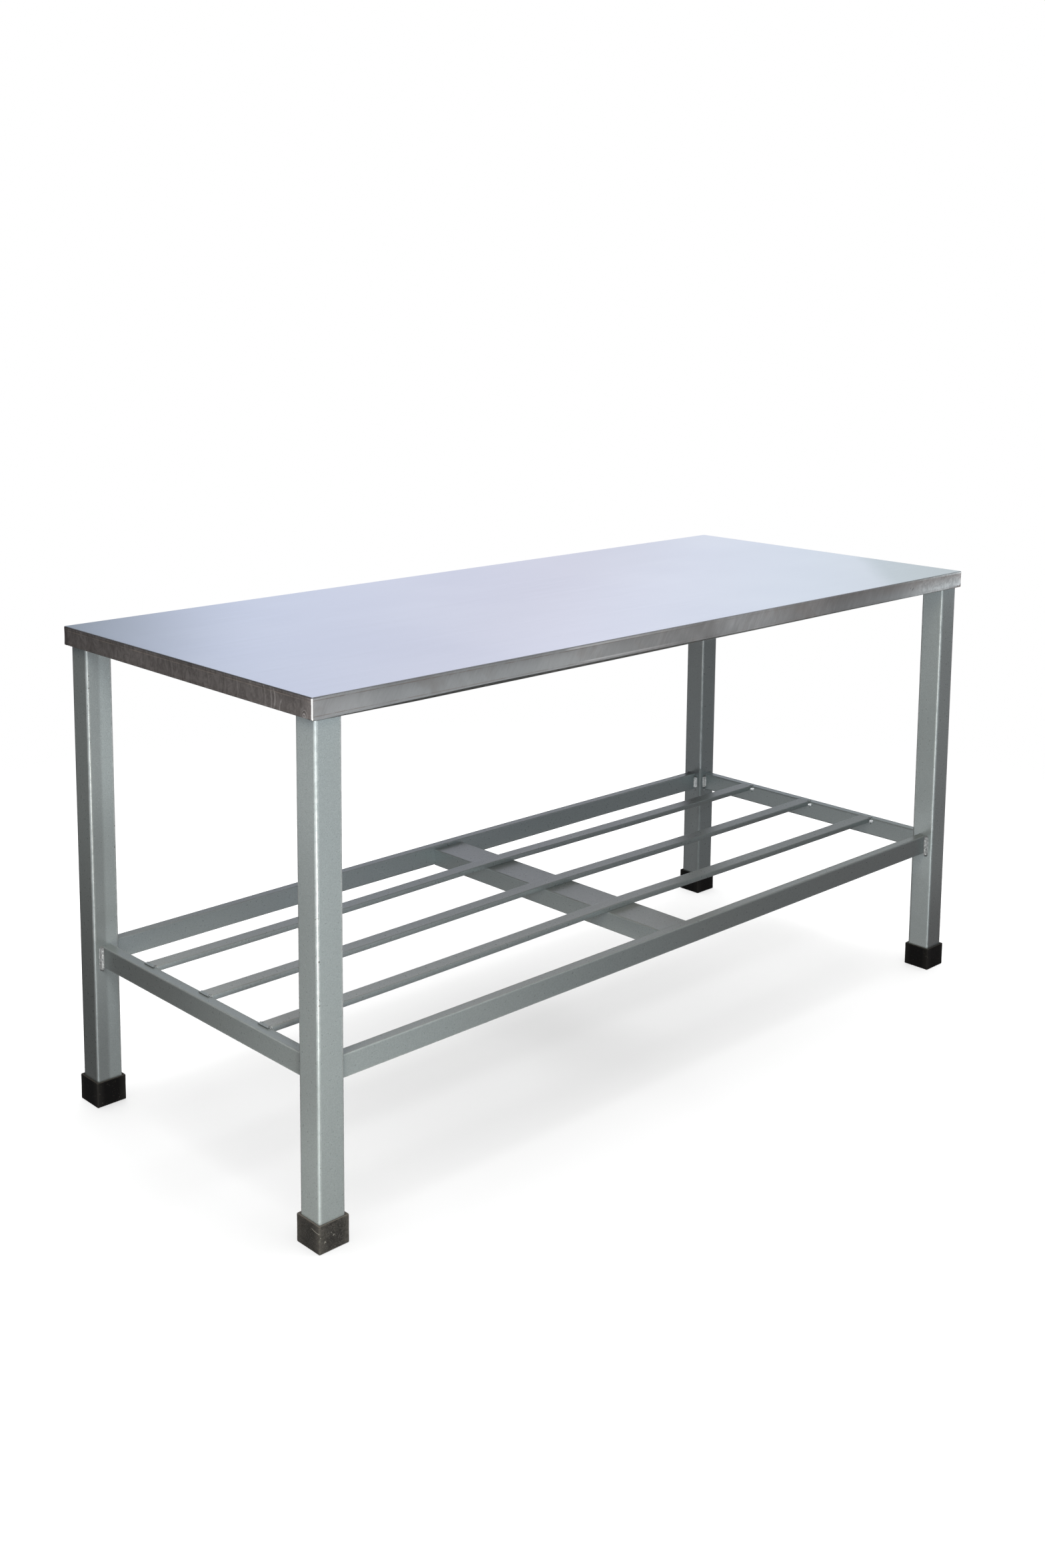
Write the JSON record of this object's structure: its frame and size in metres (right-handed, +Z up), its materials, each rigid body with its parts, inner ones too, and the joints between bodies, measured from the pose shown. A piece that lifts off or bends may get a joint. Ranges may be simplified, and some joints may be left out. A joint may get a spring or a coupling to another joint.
{
  "type": "stainless steel work table",
  "caption": "Rectangular work table: folded stainless steel top with a turned-down edge on a welded frame of painted square tube, with a low slatted shelf and square black foot caps.",
  "frame": {"origin": "on the floor, under the middle of the worktop", "axes": "+X along the length, +Y from the front to the back, +Z up"},
  "size_m": [1.8, 0.75, 0.915],
  "materials": {
    "stainless_sheet": "satin cold-rolled stainless steel sheet, lightly scratched",
    "frame_paint": "grey-green metallic paint with orange peel, semi-gloss, worn at the edges",
    "foot_cap": "black moulded plastic, matt, scuffed",
    "board": "raw chipboard",
    "zinc": "zinc plated steel"
  },
  "bodies": {
    "root": {"worktop_sheet": "stainless_sheet", "core_board": "board", "leg_front_left": "frame_paint", "leg_front_right": "frame_paint", "leg_back_left": "frame_paint", "leg_back_right": "frame_paint", "foot_front_left": "foot_cap", "foot_front_right": "foot_cap", "foot_back_left": "foot_cap", "foot_back_right": "foot_cap", "shelf_rail_front": "frame_paint", "shelf_rail_back": "frame_paint", "shelf_rail_left": "frame_paint", "shelf_rail_right": "frame_paint", "shelf_cross_tube": "frame_paint", "shelf_slat_front": "frame_paint", "shelf_slat_middle": "frame_paint", "shelf_slat_back": "frame_paint", "top_rail_front": "frame_paint", "top_rail_back": "frame_paint", "top_rail_left": "frame_paint", "top_rail_right": "frame_paint", "top_bearer_middle": "frame_paint", "board_screw_1": "zinc", "board_screw_2": "zinc", "board_screw_3": "zinc", "board_screw_4": "zinc", "board_screw_5": "zinc", "board_screw_6": "zinc", "board_screw_7": "zinc", "board_screw_8": "zinc"}
  },
  "joints": []
}
